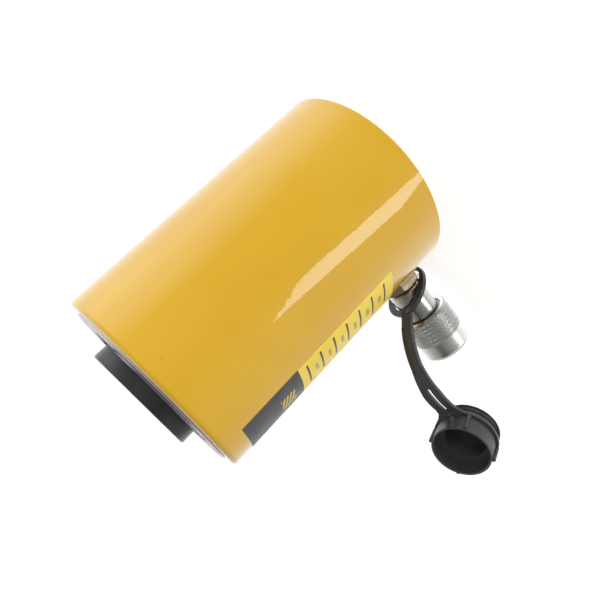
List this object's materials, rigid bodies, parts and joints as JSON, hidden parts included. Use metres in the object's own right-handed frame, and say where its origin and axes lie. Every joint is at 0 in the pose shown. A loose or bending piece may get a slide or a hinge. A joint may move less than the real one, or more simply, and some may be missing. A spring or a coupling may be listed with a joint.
{
  "type": "telescopic hydraulic cylinder",
  "caption": "Two-stage telescopic hydraulic lifting cylinder with a side quick coupler and a tethered dust cap.",
  "frame": {"origin": "centre of the flat base face of the barrel", "axes": "+Z along the lifting axis towards the saddle; -X along the coupler axis, out of the barrel"},
  "size_m": [0.2513, 0.128, 0.1914],
  "materials": {
    "barrel_paint": "glossy enamel with light orange peel",
    "ring_steel": "turned, phosphated",
    "stage_chrome": "ground and hard chrome plated",
    "black_steel": "black oxide, satin",
    "plated_steel": "zinc plated, turned",
    "spring_steel": "drawn wire",
    "bronze": "turned",
    "seal_rubber": "moulded",
    "seal_plastic": "turned PTFE",
    "black_plastic": "moulded, satin",
    "label_film": "printed film"
  },
  "bodies": {
    "housing": {"barrel": "barrel_paint", "stop_ring": "ring_steel", "stage_1_bearing_ring": "bronze", "stage_1_wiper": "seal_rubber", "port_seal_washer": "bronze", "port_adapter": "plated_steel", "adapter_o_ring": "seal_rubber", "coupler_body": "plated_steel", "spring_guide": "plated_steel", "poppet_spring": "spring_steel", "collar_snap_ring": "spring_steel", "label": "label_film"},
    "stage_1": {"stage_1_tube": "stage_chrome", "stage_1_piston_seal": "seal_rubber", "stage_1_backup_ring": "seal_plastic", "stage_1_guide_band": "bronze", "stage_2_gland": "ring_steel", "stage_2_bearing_ring": "bronze", "stage_2_wiper": "seal_rubber"},
    "stage_2": {"stage_2_plunger": "stage_chrome", "stage_2_piston_seal": "seal_rubber", "stage_2_backup_ring": "seal_plastic", "stage_2_guide_band": "bronze", "saddle": "black_steel", "saddle_o_ring": "seal_rubber"},
    "poppet": {"coupler_poppet": "bronze", "poppet_seal": "seal_rubber"},
    "collar": {"coupler_collar": "plated_steel"},
    "tether_ring": {"tether_loop": "black_plastic"},
    "strap": {"tether_strap": "black_plastic"},
    "cap": {"dust_cap": "black_plastic", "cap_gasket": "seal_rubber"}
  },
  "joints": [
    {"name": "stage_1_slide", "type": "slide", "parent": "housing", "child": "stage_1", "axis": [0, 0, 1], "range_m": [0, 0.1]},
    {"name": "stage_2_slide", "type": "slide", "parent": "stage_1", "child": "stage_2", "axis": [0, 0, 1], "range_m": [0, 0.1]},
    {"name": "poppet_slide", "type": "slide", "parent": "housing", "child": "poppet", "axis": [1, 0, 0], "range_m": [0, 0.004], "stiffness_N_per_m": 1500, "springref_m": -0.004, "deforming": ["poppet_spring"]},
    {"name": "collar_spin", "type": "hinge", "parent": "housing", "child": "collar", "pos_m": [-0.111, 0, 0.02], "axis": [1, 0, 0], "continuous": true},
    {"name": "tether_swivel", "type": "hinge", "parent": "housing", "child": "tether_ring", "pos_m": [-0.0765, 0, 0.02], "axis": [1, 0, 0], "continuous": true},
    {"name": "strap_flex", "type": "hinge", "parent": "tether_ring", "child": "strap", "pos_m": [-0.0855, -0.01086, 0.03766], "axis": [0, 0.8517, 0.524], "range_deg": [-12, 40]},
    {"name": "cap_spin", "type": "hinge", "parent": "strap", "child": "cap", "pos_m": [-0.16629, -0.02699, 0.06386], "axis": [0.1426, -0.5186, 0.843], "continuous": true}
  ]
}
